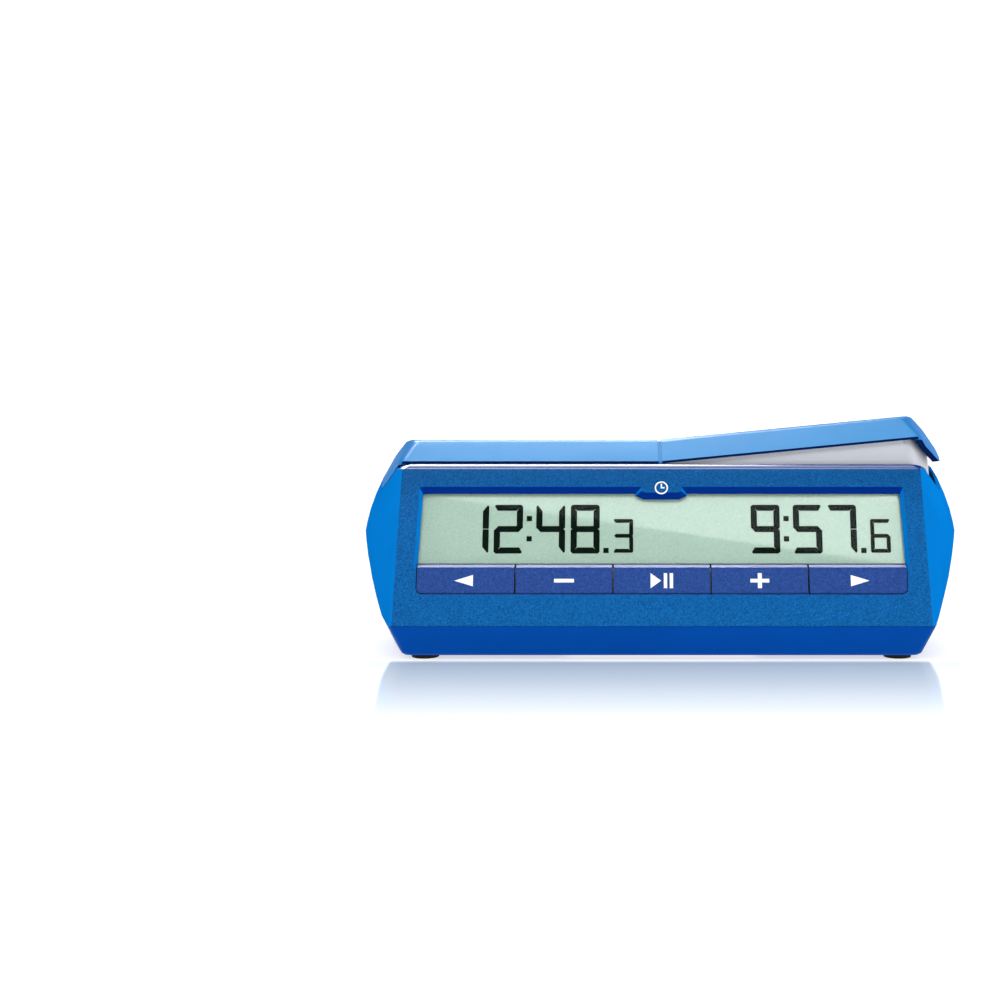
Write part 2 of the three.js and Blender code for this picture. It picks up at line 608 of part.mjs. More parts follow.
// ---------- screws, cells and contacts ----------
function screw(headRadius, headHeight, shankRadius, length) {
  const profile = [
    [0, 0], [headRadius * 0.85, 0], [headRadius, headHeight * 0.4], [headRadius, headHeight],
    [shankRadius, headHeight], [shankRadius, length - 1], [shankRadius * 0.5, length], [0, length],
  ];
  const body = new THREE.LatheGeometry(profile.map(([x, y]) => new THREE.Vector2(x, y)), 12);
  const slot = new THREE.BoxGeometry(headRadius * 1.2, headHeight * 0.9, 0.8);
  const crossed = toSolid(slot).add(toSolid(slot.clone().rotateY(Math.PI / 2)));
  return toSolid(body).subtract(crossed);
}

function cell() {
  const half = CELL_LENGTH / 2;
  const profile = [
    [0, -half], [CELL_RADIUS - 1.2, -half], [CELL_RADIUS - 0.9, 0.5 - half], [CELL_RADIUS, 0.5 - half],
    [CELL_RADIUS, half - 2], [CELL_RADIUS - 0.9, half - 1.4], [2.8, half - 1.4], [2.6, half], [0, half],
  ];
  const points = profile.map(([x, y]) => new THREE.Vector2(x, y));
  return new THREE.LatheGeometry(points, 20).rotateZ(-Math.PI / 2);
}

function contactSpring() {
  class Coil extends THREE.Curve {
    getPoint(t, target = new THREE.Vector3()) {
      const angle = t * Math.PI * 6;
      const radius = 4.6 - 2.4 * t;
      return target.set(0.6 + 1.5 * t, radius * Math.cos(angle), radius * Math.sin(angle));
    }
  }
  const wire = new THREE.Shape().absarc(0, 0, 0.28, 0, Math.PI * 2);
  const settings = { steps: 30, extrudePath: new Coil(), curveSegments: 3, bevelEnabled: false };
  const coil = toSolid(new THREE.ExtrudeGeometry(wire, settings));
  return coil.add(toSolid(box(0, 0.5, -6, 6, -5, 6)));
}

function contactPlate() {
  return toSolid(box(-0.5, 0, -6, 6, -5, 6)).add(toSolid(box(-0.8, -0.2, -2.4, 2.4, -2.4, 2.4)));
}

function sliderKnob() {
  const knob = box(-3, 3, -2.6, 2.6, BASE_Z + 0.15, BASE_Z + 1);
  const stem = box(-1.1, 1.1, -1.3, 1.3, BASE_Z + 0.5, FLOOR_Z + 0.4);
  let solid = toSolid(knob).add(toSolid(stem));
  for (const x of [-1.5, 0, 1.5]) {
    solid = solid.subtract(toSolid(box(x - 0.25, x + 0.25, -3, 3, BASE_Z, BASE_Z + 0.45)));
  }
  return solid;
}

// ---------- assembly ----------
const clock = new THREE.Group();
const frontFace = new THREE.Group();
frontFace.position.set(0, -CREASE_HALF_DEPTH, CREASE_Z);
frontFace.rotation.x = Math.PI / 2 - FACE_LEAN;
clock.add(frontFace);

function place(name, shape, material, parent = clock) {
  const geometry = shape.isBufferGeometry ? shape : toGeometry(shape);
  const mesh = new THREE.Mesh(geometry, material);
  mesh.name = name;
  parent.add(mesh);
  return mesh;
}

place('upper_housing', upperHousing(), housingBlue);
place('base_housing', baseHousing(), baseBlue);
place('battery_lid', batteryLid(), baseBlue);
place('lever_cover', leverCover(), leverBlue);
place('lever_core', leverCore(), leverWhite);
place('lever_axle', pinY(1.5, 0, -9.5, 9.5, PIVOT_Z), steel);
place('lever_detent_spring', detentSpring(), steel);
place('lever_magnet_left', magnet(-52, 71, 0), steel);
place('lever_magnet_right', magnet(...raisedPoint(52, 71), ROCK), steel);

place('display_window', displayWindow(), clearWindow, frontFace);
place('display_glass', box(-91.9, 91.9, 24.6, 52, -6.2, -4), displayGreen, frontFace);
place('display_frame', displayFrame(), blackPlastic, frontFace);
place('display_connector_left', box(-84, -2, 29, 31, -7.1, -6.5), siliconeGrey, frontFace);
place('display_connector_right', box(2, 84, 29, 31, -7.1, -6.5), siliconeGrey, frontFace);
KEY_NAMES.forEach((name, index) => place(name, keyCap(index), keyBlue, frontFace));
place('key_membrane', keyMembrane(), siliconeGrey, frontFace);
place('main_board', mainBoard(), boardGreen, frontFace);
place('controller_chip', box(-7, 7, 26, 40, -11, -9.3), blackPlastic, frontFace);
place('quartz_crystal', box(14, 22, 30, 33, -12, -9.3), steel, frontFace);
place('buzzer', pinZ(6, 52, 28, -14.3, -9.3), blackPlastic, frontFace);
place('lever_sensor_left', box(-55, -49, 39, 43, -12, -9.3), blackPlastic, frontFace);
place('lever_sensor_right', box(49, 55, 39, 43, -12, -9.3), blackPlastic, frontFace);

const sides = [['left', -1], ['right', 1]];
for (const [side, sign] of sides) {
  BOARD_POSTS.forEach((up, i) => {
    const mesh = place(`board_screw_${side}_${i + 1}`, screw(2, 1.4, 0.85, 6), steel, frontFace);
    mesh.position.set(sign * BOARD_POST_X, up, -BOARD_DEPTH - BOARD_THICK - GAP - 1.4);
    mesh.rotation.x = Math.PI / 2;
  });
  for (const [end, direction] of [['front', -1], ['rear', 1]]) {
    const foot = pinZ(FOOT_RADIUS, 0, 0, 0, 2.65, 24);
    place(`foot_${end}_${side}`, foot, rubberBlack).position.set(sign * FOOT_X, direction * FOOT_Y, 0);
    const caseScrew = place(`case_screw_${end}_${side}`, screw(2.9, 2, 1.45, 14.4), steel);
    caseScrew.position.set(sign * SCREW_X, direction * SCREW_Y, 3);
    caseScrew.rotation.x = Math.PI / 2;
  }
}

const cellGap = 0.5;
place('cell_left', cell(), cellGold).position.set(-(CELL_LENGTH + cellGap) / 2, CELL_Y, CELL_Z);
place('cell_right', cell(), cellGold).position.set((CELL_LENGTH + cellGap) / 2, CELL_Y, CELL_Z);
place('battery_spring', contactSpring(), steel).position.set(-54.1, CELL_Y, CELL_Z);
place('battery_contact', contactPlate(), brass).position.set(53.9, CELL_Y, CELL_Z);
place('power_slider', sliderKnob(), blackPlastic).position.set(SWITCH_X - 1.7, 0, 0);
place('power_switch', box(SWITCH_X - 6.5, SWITCH_X + 6.5, -3.2, 3.2, 5.4, 10.5), blackPlastic);
place('label_plate', extrude(roundedRectangle(-36, 36, -20.5, -6.5, 1.2), BASE_Z + 0.1, BASE_Z + 0.5),
  labelSilver);

export default clock;
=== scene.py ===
"""Looks of a digital tournament chess clock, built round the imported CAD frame.

The housing, lever, keys and small parts start from their CAD nodes, with rounded edges and
materials of their own. The display's segments and the key symbols are made here.
"""
import json
import math

import bmesh
import bpy
from mathutils import Matrix, Vector


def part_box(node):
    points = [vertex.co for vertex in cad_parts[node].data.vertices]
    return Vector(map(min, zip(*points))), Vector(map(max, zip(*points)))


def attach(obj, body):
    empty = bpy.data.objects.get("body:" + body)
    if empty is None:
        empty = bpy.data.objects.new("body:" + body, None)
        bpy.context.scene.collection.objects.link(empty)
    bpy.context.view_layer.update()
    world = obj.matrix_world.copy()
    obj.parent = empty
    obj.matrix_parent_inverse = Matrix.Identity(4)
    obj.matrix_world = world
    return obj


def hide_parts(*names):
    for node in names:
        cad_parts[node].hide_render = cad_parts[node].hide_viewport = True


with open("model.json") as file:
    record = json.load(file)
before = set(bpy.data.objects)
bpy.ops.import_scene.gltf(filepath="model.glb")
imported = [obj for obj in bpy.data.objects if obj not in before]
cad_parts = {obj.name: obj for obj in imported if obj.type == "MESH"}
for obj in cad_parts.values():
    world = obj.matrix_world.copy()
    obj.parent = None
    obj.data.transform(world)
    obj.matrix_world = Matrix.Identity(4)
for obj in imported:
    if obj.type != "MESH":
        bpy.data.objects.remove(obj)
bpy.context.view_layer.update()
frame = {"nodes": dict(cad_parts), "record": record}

# ---------- sizes, in millimetres ----------
MM = 0.001
CREASE = Vector((0, -31, 13.4))         # middle of the front face's lower edge
SHOULDER_Y = -11.1                      # upper edge of the front face
SHOULDER_Z = 70.4
GLASS_DEPTH = 4                         # front of the display glass below the face
WINDOW_DEPTH = 2                        # and front of the window
WINDOW_INDEX = 1.25                     # its coating keeps reflections weak
PRINT = 0.06                            # how far printed marks stand out
SEAM = 0.3                              # air between the base and the upper housing
RECESS_Z = 50                           # the display opening's upper wall lies above this

DIGIT_LOW = 28.55                       # up the face, from the crease
DIGIT_HIGH = 47.45
SMALL_LOW = 28.85
SMALL_HIGH = 41.9
DIGIT_WIDTH = 10.9
SMALL_WIDTH = 7.5
STROKE = 2.35
CLIP = 0.22                             # cut corners of a segment, in strokes
SMALL_STROKE = 1.5
GROUP_LEFT_X = -75.8                    # left edge of the first digit of each time
GROUP_PITCH = 96.7
DIGIT_OFFSETS = (0, 12.8, 28.7, 41.7)
COLON_OFFSET = 26.1
COLON_HEIGHTS = (0.3, 0.715)            # of its dots, in digit heights
POINT_OFFSET = 55
SMALL_OFFSET = 57.7
LEFT_TIME = "12483"
RIGHT_TIME = " 9576"
SYMBOL_MIDDLE = 17.3                    # height of the key symbols up the face
MARK_MIDDLE = 53                        # and of the round mark above the display
MARK_RADIUS = 2.5
MARK_LINE = 0.5                         # width of its ring and hands

face_up = Vector((0, SHOULDER_Y - CREASE.y, SHOULDER_Z - CREASE.z)).normalized()
face_out = Vector((1, 0, 0)).cross(face_up)
FACE = Matrix((
    (1, 0, 0, 0),
    (0, face_up.y, face_out.y, CREASE.y),
    (0, face_up.z, face_out.z, CREASE.z),
    (0, 0, 0, 1),
))


# ---------- materials ----------
class Shader:
    """A Principled material with short calls for the procedural nodes it is built from."""

    def __init__(self, name, roughness=0.4, metallic=0.0, specular=0.5):
        self.material = bpy.data.materials.new(name)
        self.material.use_nodes = True
        self.nodes = self.material.node_tree.nodes
        self.links = self.material.node_tree.links
        self.shader = self.nodes["Principled BSDF"]
        self.set("Roughness", roughness)
        self.set("Metallic", metallic)
        self.set("Specular IOR Level", specular)
        self.place = self.nodes.new("ShaderNodeTexCoord").outputs["Object"]
        self.edge = None

    def set(self, socket, value):
        self.shader.inputs[socket].default_value = value

    def link(self, output, socket):
        self.links.new(output, self.shader.inputs[socket])

    def noise(self, grain, detail=3.0, stretch=(1, 1, 1)):
        """Noise whose features are about `grain` millimetres across."""
        mapping = self.nodes.new("ShaderNodeMapping")
        mapping.inputs["Scale"].default_value = stretch
        self.links.new(self.place, mapping.inputs["Vector"])
        node = self.nodes.new("ShaderNodeTexNoise")
        node.inputs["Scale"].default_value = 1 / (grain * MM)
        node.inputs["Detail"].default_value = detail
        self.links.new(mapping.outputs["Vector"], node.inputs["Vector"])
        return node.outputs["Fac"]

    def grains(self, size):
        """Small cells about `size` millimetres across, each with a value of its own."""
        node = self.nodes.new("ShaderNodeTexVoronoi")
        node.inputs["Scale"].default_value = 1 / (size * MM)
        self.links.new(self.place, node.inputs["Vector"])
        split = self.nodes.new("ShaderNodeSeparateColor")
        self.links.new(node.outputs["Color"], split.inputs["Color"])
        return split.outputs["Red"]

    def ramp(self, value, stops):
        """A linear colour that follows `value` through the stops."""
        node = self.nodes.new("ShaderNodeValToRGB")
        elements = node.color_ramp.elements
        for element, (position, colour) in zip(elements, (stops[0], stops[-1])):
            element.position = position
            element.color = (*colour, 1)
        for position, colour in stops[1:-1]:
            elements.new(position).color = (*colour, 1)
        self.links.new(value, node.inputs["Fac"])
        return node.outputs["Color"]

    def range(self, value, low, high, start=0.3, end=0.7):
        """Goes from `low` to `high` while `value` goes from `start` to `end`."""
        node = self.nodes.new("ShaderNodeMapRange")
        node.inputs["From Min"].default_value = start
        node.inputs["From Max"].default_value = end
        node.inputs["To Min"].default_value = low
        node.inputs["To Max"].default_value = high
        self.links.new(value, node.inputs["Value"])
        return node.outputs["Result"]

    def axis(self, name):
        """One coordinate of the shaded point, in metres."""
        node = self.nodes.new("ShaderNodeSeparateXYZ")
        self.links.new(self.place, node.inputs["Vector"])
        return node.outputs[name]

    def multiply(self, first, second):
        node = self.nodes.new("ShaderNodeVectorMath")
        node.operation = "MULTIPLY"
        self.links.new(first, node.inputs[0])
        self.links.new(second, node.inputs[1])
        return node.outputs["Vector"]

    def soft_edges(self, radius):
        """Rounds the shaded normal over edges; bumps are laid on top of it."""
        node = self.nodes.new("ShaderNodeBevel")
        node.samples = 6
        node.inputs["Radius"].default_value = radius * MM
        self.link(node.outputs["Normal"], "Normal")
        self.edge = node.outputs["Normal"]

    def bump(self, value, height, strength=1.0):
        """Relief of `height` millimetres on the shaded surface."""
        node = self.nodes.new("ShaderNodeBump")
        node.inputs["Distance"].default_value = height * MM
        node.inputs["Strength"].default_value = strength
        self.links.new(value, node.inputs["Height"])
        if self.edge:
            self.links.new(self.edge, node.inputs["Normal"])
        self.link(node.outputs["Normal"], "Normal")


def linear(code):
    """The linear colour of a hexadecimal display colour."""
    parts = (int(code[i:i + 2], 16) / 255 for i in (0, 2, 4))
    return tuple(c / 12.92 if c <= 0.04045 else ((c + 0.055) / 1.055) ** 2.4 for c in parts)


def shade(code, factor):
    """The same colour, lighter or darker."""
    return tuple(min(1.0, c * factor) for c in linear(code))


def textured_plastic(name, code, tint, contrast=0.35, roughness=0.5, specular=0.3, painted_shade=None):
    """Spark-eroded plastic: fine grains that catch the light one by one.

    The last argument is painted shade: the colour darkens by a factor between two heights in
    millimetres.
    """
    surface = Shader(name, roughness, specular=specular)
    surface.set("Specular Tint", (*linear(tint), 1))
    grain = surface.grains(0.42)
    dark = shade(code, 1 - contrast)
    bright = shade(code, 1 + contrast * 1.3)
    stops = [(0, dark), (0.5, linear(code)), (0.86, shade(code, 1.08)), (1, bright)]
    colour = surface.ramp(grain, stops)
    # painted shade: the colour darkens towards the upper height
    if painted_shade:
        low, high, factor = painted_shade
        depth = surface.range(surface.axis("Z"), 1, factor, low * MM, high * MM)
        colour = surface.multiply(colour, depth)
    surface.link(colour, "Base Color")
    surface.link(surface.range(surface.noise(3), roughness - 0.06, roughness + 0.06), "Roughness")
    surface.soft_edges(0.4)
    surface.bump(surface.noise(0.5, 4), 0.05, 0.7)
    return surface.material


def smooth_plastic(
        name, code, tint="ffffff", roughness=0.32, specular=0.35, edge=0.4, relief=0.25):
    """Satin moulded plastic with a faint flow pattern."""
    surface = Shader(name, roughness, specular=specular)
    surface.set("Specular Tint", (*linear(tint), 1))
    flow = surface.noise(22, 4, (0.5, 1, 1))
    stops = [(0.3, shade(code, 0.95)), (0.7, shade(code, 1.05))]
    surface.link(surface.ramp(flow, stops), "Base Color")
    surface.link(surface.range(surface.noise(4), roughness - 0.04, roughness + 0.04), "Roughness")
    surface.soft_edges(edge)
    surface.bump(surface.noise(0.35, 2), 0.01, relief)
    return surface.material


def rubber(name, code, roughness=0.75):
    """Dull rubber or silicone with light specks."""
    surface = Shader(name, roughness, specular=0.3)
    speck = surface.noise(1.2, 5)
    stops = [(0.35, shade(code, 0.75)), (0.7, shade(code, 1.5))]
    surface.link(surface.ramp(speck, stops), "Base Color")
    surface.link(surface.range(speck, roughness - 0.08, roughness + 0.1), "Roughness")
    surface.soft_edges(0.25)
    surface.bump(surface.noise(0.4, 4), 0.04, 0.5)
    return surface.material


def metal(name, code, roughness=0.28):
    """Metal brushed along X."""
    surface = Shader(name, roughness, metallic=1)
    brushed = surface.noise(0.3, 4, (0.05, 1, 1))
    stops = [(0.3, shade(code, 0.85)), (0.7, shade(code, 1.1))]
    surface.link(surface.ramp(brushed, stops), "Base Color")
    surface.link(surface.range(brushed, roughness - 0.08, roughness + 0.12), "Roughness")
    surface.soft_edges(0.12)
    return surface.material


def circuit_board():
    """Green laminate with lighter tracks."""
    surface = Shader("board_laminate", 0.35)
    track = surface.noise(2.2, 2, (1, 4, 1))
    stops = [(0.47, linear("174e2c")), (0.5, linear("25703f")), (0.53, linear("174e2c"))]
    surface.link(surface.ramp(track, stops), "Base Color")
    surface.bump(track, 0.05, 0.3)
    return surface.material


def display_reflector():
    """Pale grey-green reflector of a liquid-crystal display, with its fine sparkle."""
    surface = Shader("display_reflector", 0.03, specular=1.0)
    surface.set("IOR", 1.8)
    stops = [(0, linear("b6d0c1")), (0.5, linear("c0dacb")), (1, linear("c9e1d3"))]
    surface.link(surface.ramp(surface.grains(0.3), stops), "Base Color")
    surface.link(surface.range(surface.noise(0.6), 0.025, 0.035), "Roughness")
    return surface.material


def display_ink():
    """Near-black green of a darkened segment."""
    surface = Shader("display_ink", 0.6, specular=0.0)
    stops = [(0.3, linear("06110c")), (0.7, linear("0c1c16"))]
    surface.link(surface.ramp(surface.noise(0.8), stops), "Base Color")
    return surface.material


def window_plastic():
    """Clear coated acrylic as a film of reflections over whatever lies behind it."""
    material = bpy.data.materials.new("window_acrylic")
    material.use_nodes = True
    nodes = material.node_tree.nodes
    links = material.node_tree.links
    nodes.remove(nodes["Principled BSDF"])
    clear = nodes.new("ShaderNodeBsdfTransparent")
    clear.inputs["Color"].default_value = (0.97, 0.985, 0.975, 1)
    gloss = nodes.new("ShaderNodeBsdfGlossy")
    fresnel = nodes.new("ShaderNodeFresnel")
    facing = nodes.new("ShaderNodeNewGeometry")
    index = nodes.new("ShaderNodeMapRange")     # both sides of the pane reflect alike
    index.inputs["To Min"].default_value = WINDOW_INDEX
    index.inputs["To Max"].default_value = 1 / WINDOW_INDEX
    smear = nodes.new("ShaderNodeTexNoise")
    smear.inputs["Scale"].default_value = 60
    spread = nodes.new("ShaderNodeMapRange")
    spread.inputs["To Min"].default_value = 0.02
    spread.inputs["To Max"].default_value = 0.05
    mixer = nodes.new("ShaderNodeMixShader")
    place = nodes.new("ShaderNodeTexCoord")
    links.new(place.outputs["Object"], smear.inputs["Vector"])
    links.new(smear.outputs["Fac"], spread.inputs["Value"])
    links.new(spread.outputs["Result"], gloss.inputs["Roughness"])
    links.new(facing.outputs["Backfacing"], index.inputs["Value"])
    links.new(index.outputs["Result"], fresnel.inputs["IOR"])
    links.new(fresnel.outputs["Fac"], mixer.inputs["Fac"])
    links.new(clear.outputs["BSDF"], mixer.inputs[1])
    links.new(gloss.outputs["BSDF"], mixer.inputs[2])
    links.new(mixer.outputs["Shader"], nodes["Material Output"].inputs["Surface"])
    return material


BLUE_SHEEN = "3f8fff"
# painted shade at the top of the front, under the lever: full colour at 54 mm, 0.77 of it at 67 mm
FACE_PAINTED_SHADE = (54, 67, 0.77)
housing_face = textured_plastic(
    "housing_face_blue", "0f5a9a", BLUE_SHEEN, specular=0.2, painted_shade=FACE_PAINTED_SHADE)
housing_smooth = smooth_plastic("housing_smooth_blue", "0472c3", BLUE_SHEEN, specular=0.0)
housing_rim = smooth_plastic(
    "housing_rim_blue", "04327c", roughness=0.2, specular=1.0, edge=0.05, relief=0)
# a darker copy of the housing blue: painted shade on the display opening's upper wall
housing_recess = smooth_plastic("housing_recess_blue", "022c82", BLUE_SHEEN, specular=0.03, edge=0.2)
base_blue = smooth_plastic("base_blue", "03479e", BLUE_SHEEN, specular=0.03)
lever_blue = smooth_plastic("lever_blue", "2282c2", roughness=0.34, specular=0.31, edge=0.15)
lever_end = smooth_plastic("lever_end_blue", "2878bc", roughness=0.45, specular=0.05, edge=0.15)
# a near-black copy of the lever blue: painted shade on the faces that look down
lever_under = smooth_plastic("lever_under_blue", "021c50", BLUE_SHEEN, specular=0.03, edge=0.1)
lever_white = smooth_plastic("lever_white", "bfc2ca", roughness=0.4)
key_blue = textured_plastic("key_blue", "2a4484", BLUE_SHEEN, contrast=0.3)
# glossy, and coloured pale lilac: a painted highlight along the keys' upper edge
key_edge_painted_highlight = smooth_plastic("key_edge_painted_highlight", "a3a8d6", roughness=0.18, specular=0.5, edge=0.1)
print_white = smooth_plastic("print_white", "f4f6f8", roughness=0.5, edge=0.03)
black_plastic = smooth_plastic("black_plastic", "17181a", roughness=0.45)
foot_rubber = rubber("foot_rubber", "141414")
grey_silicone = rubber("grey_silicone", "8f9499", 0.6)
board_green = circuit_board()
reflector = display_reflector()
ink = display_ink()
window_clear = window_plastic()
label_silver = smooth_plastic("label_silver", "b9bcc0", roughness=0.35, edge=0.05)
cell_wrap = smooth_plastic("cell_wrap", "b88a2c", roughness=0.36)
steel = metal("steel", "c2c5c8")
brass = metal("brass", "c9a24a")


# ---------- pieces made from CAD nodes ----------
def body_of(node):
    """The body of the frame that carries a CAD node."""
    for body, members in frame["record"]["behaviour"]["bodies"].items():
        if node in members:
            return body
    raise KeyError(node)


def is_front_or_back(polygon):
    """Whether a polygon lies in the tilted front or in its mirror image, the back."""
    mirrored = Vector((0, -face_out.y, face_out.z))
    return max(polygon.normal.dot(face_out), polygon.normal.dot(mirrored)) > 0.96


def refined(node, name, materials, pick=None, bevel=0.0, segments=2, sharp_angle=28):
    """A finished copy of a CAD node: flat areas in one face, rounded edges and smooth shading."""
    mesh = frame["nodes"][node].data.copy()
    work = bmesh.new()
    work.from_mesh(mesh)
    bmesh.ops.remove_doubles(work, verts=work.verts, dist=0.01 * MM)
    bmesh.ops.dissolve_degenerate(work, dist=0.01 * MM, edges=list(work.edges))
    edges = list(work.edges)
    bmesh.ops.dissolve_limit(work, angle_limit=math.radians(0.6), verts=work.verts, edges=edges)
    work.to_mesh(mesh)
    work.free()
    mesh.materials.clear()
    for material in materials:
        mesh.materials.append(material)
    for polygon in mesh.polygons:
        polygon.material_index = pick(polygon) if pick else 0
    mesh.shade_smooth()
    mesh.set_sharp_from_angle(angle=math.radians(sharp_angle))
    piece = bpy.data.objects.new(name, mesh)
    bpy.context.scene.collection.objects.link(piece)
    if bevel:
        rounding = piece.modifiers.new("rounded_edges", "BEVEL")
        rounding.width = bevel * MM
        rounding.segments = segments
        rounding.limit_method = "ANGLE"
        rounding.angle_limit = math.radians(35)
        rounding.harden_normals = True
    weighting = piece.modifiers.new("weighted_normals", "WEIGHTED_NORMAL")
    weighting.keep_sharp = True
    weighting.weight = 100
    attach(piece, body_of(node))
    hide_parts(node)
    return piece


def housing_finish(polygon):
    """0 textured front and back, 1 smooth sides, 2 glossy rim, 3 display opening's upper wall in a
    darker blue, painted shade.
    """
    if polygon.center.z > (SHOULDER_Z + 0.1) * MM and polygon.normal.z > 0.3:
        return 2
    if polygon.center.z > RECESS_Z * MM and polygon.center.y < 0 and polygon.normal.z < -0.1:
        return 3
    return 0 if is_front_or_back(polygon) else 1


def lever_finish(polygon):
    """0 the long sloping sides, 1 undersides in a near-black blue of painted shade, 2 ends and top."""
    if polygon.normal.z < -0.2:
        return 1
    return 2 if abs(polygon.normal.x) > 0.2 or polygon.normal.z > 0.96 else 0


def key_finish(polygon):
    """0 textured face, 1 the sloping upper edge, glossy and painted pale lilac as a highlight."""
    return 1 if polygon.normal.dot(face_up) > 0.5 and polygon.normal.dot(face_out) > 0.5 else 0


def close_seam(piece):
    """Brings the shell's lower rim down to a hairline above the base."""
    for vertex in piece.data.vertices:
        if abs(vertex.co.z - (CREASE.z + SEAM) * MM) < 0.02 * MM:
            vertex.co.z -= (SEAM - 0.04) * MM


KEY_SYMBOLS = {
    "button_back": "back", "button_minus": "minus", "button_start": "start",
    "button_plus": "plus", "button_forward": "forward",
}
housing_materials = [housing_face, housing_smooth, housing_rim, housing_recess]
close_seam(refined("upper_housing", "housing_shell", housing_materials, housing_finish))
refined("base_housing", "base_tray", [base_blue])
refined("battery_lid", "battery_door", [base_blue], bevel=0.25)
refined("lever_cover", "lever_bar", [lever_blue, lever_under, lever_end], lever_finish)
refined("lever_core", "lever_body", [lever_white])
for node in KEY_SYMBOLS:
    refined(node, node.replace("button", "key"), [key_blue, key_edge_painted_highlight], key_finish, bevel=0.15)
for end in ("front", "rear"):
    for side in ("left", "right"):
        refined(f"foot_{end}_{side}", f"rubber_foot_{end}_{side}", [foot_rubber], bevel=0.4, segments=3)
        refined(f"case_screw_{end}_{side}", f"long_screw_{end}_{side}", [steel], bevel=0.12)
for side in ("left", "right"):
    refined(f"cell_{side}", f"dry_cell_{side}", [cell_wrap], bevel=0.2)
    for row in (1, 2):
        refined(f"board_screw_{side}_{row}", f"short_screw_{side}_{row}", [steel], bevel=0.1)
refined("power_slider", "slide_knob", [black_plastic], bevel=0.15)
refined("label_plate", "blank_label", [label_silver], bevel=0.1)
refined("display_window", "clear_window", [window_clear], bevel=0.15)
refined("display_glass", "display_panel", [reflector], bevel=0.2)

KEPT = {
    "display_frame": black_plastic, "controller_chip": black_plastic, "buzzer": black_plastic,
    "lever_sensor_left": black_plastic, "lever_sensor_right": black_plastic,
    "power_switch": black_plastic, "display_connector_left": grey_silicone,
    "display_connector_right": grey_silicone, "key_membrane": grey_silicone,
    "main_board": board_green, "quartz_crystal": steel, "lever_axle": steel,
    "lever_detent_spring": steel, "lever_magnet_left": steel, "lever_magnet_right": steel,
    "battery_spring": steel, "battery_contact": brass,
}
for node, material in KEPT.items():
    kept = frame["nodes"][node]
    for slot in kept.material_slots:
        slot.material = material


# ---------- flat pieces on the face ----------
def flat_piece(name, outlines, depth, thickness, material, node):
    """Outlines in the face's plane, in millimetres, `thickness` high from `depth` below it."""
    work = bmesh.new()
    for outline in outlines:
        low = [work.verts.new(FACE @ Vector((x, y, -depth)) * MM) for x, y in outline]
        high = [work.verts.new(FACE @ Vector((x, y, thickness - depth)) * MM) for x, y in outline]
        work.faces.new(list(reversed(low)))
        work.faces.new(high)
        for i in range(len(outline)):
            j = (i + 1) % len(outline)
            work.faces.new((low[i], low[j], high[j], high[i]))
    mesh = bpy.data.meshes.new(name)
    work.to_mesh(mesh)
    work.free()
    mesh.materials.append(material)
    piece = bpy.data.objects.new(name, mesh)
    bpy.context.scene.collection.objects.link(piece)
    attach(piece, body_of(node))
    return piece


# a top, b and c right, d bottom, e and f left, g middle
SEGMENTS = {
    "1": "bc", "2": "abdeg", "3": "abcdg", "4": "bcfg", "5": "acdfg", "6": "acdefg",
    "7": "abc", "8": "abcdefg", "9": "abcdfg", " ": "",
}


def bar(x0, x1, y, stroke, gap):
    """The middle level segment, pointed at both ends."""
    half = stroke / 2
    slope = half + gap * 0.4
    return [
        (x0 + gap, y), (x0 + slope, y - half), (x1 - slope, y - half),
        (x1 - gap, y), (x1 - slope, y + half), (x0 + slope, y + half),
    ]


def outer_bar(x0, x1, y, inward, stroke, gap, lit_left, lit_right):
    """A level segment on the digit's outer edge, mitred where an upright segment meets it."""
    left = stroke + gap if lit_left else 0.55 * stroke
    right = stroke + gap if lit_right else 0.55 * stroke
    clip = CLIP * stroke
    return [
        (x0 + gap, y + inward * clip), (x0 + gap + clip, y), (x1 - gap - clip, y),
        (x1 - gap, y + inward * clip), (x1 - right, y + inward * stroke),
        (x0 + left, y + inward * stroke),
    ][::inward]


def post(x, inward, outer_y, middle_y, stroke, gap, lone):
    """An upright segment on the digit's side, mitred to the outer bar and the middle one.

    `lone` posts meet each other instead, with no middle bar lit between them.
    """
    up = 1 if middle_y > outer_y else -1
    near = x + inward * stroke
    clip = CLIP * stroke
    inset = 0.6 * gap if lone else 0.12 * stroke + gap
    outset = gap if lone else (gap + clip) * 0.6
    points = [
        (x + inward * clip, outer_y + up * gap), (near, outer_y + up * (stroke + gap)),
        (near, middle_y - up * inset), (x + inward * clip, middle_y - up * gap * 0.5),
        (x, middle_y - up * outset), (x, outer_y + up * (gap + clip)),
    ]
    return points[::inward * up]


def digit(symbol, x, low, high, width, stroke):
    """Outlines of the lit segments of one digit, its left edge at x."""
    gap = stroke * 0.09
    middle = (low + high) / 2
    right = x + width
    lit = SEGMENTS[symbol]
    lone = "g" not in lit
    shapes = {
        "a": outer_bar(x, right, high, -1, stroke, gap, "f" in lit, "b" in lit),
        "d": outer_bar(x, right, low, 1, stroke, gap, "e" in lit, "c" in lit),
        "g": bar(x + 0.15 * stroke, right - 0.15 * stroke, middle, stroke, gap),
        "b": post(right, -1, high, middle, stroke, gap, lone),
        "c": post(right, -1, low, middle, stroke, gap, lone),
        "f": post(x, 1, high, middle, stroke, gap, lone),
        "e": post(x, 1, low, middle, stroke, gap, lone),
    }
    return [shapes[s] for s in lit]


def rectangle(x0, x1, y0, y1):
    return [(x0, y0), (x1, y0), (x1, y1), (x0, y1)]


def dot(x, y):
    half = STROKE * 0.85 / 2
    return rectangle(x - half, x + half, y - half, y + half)


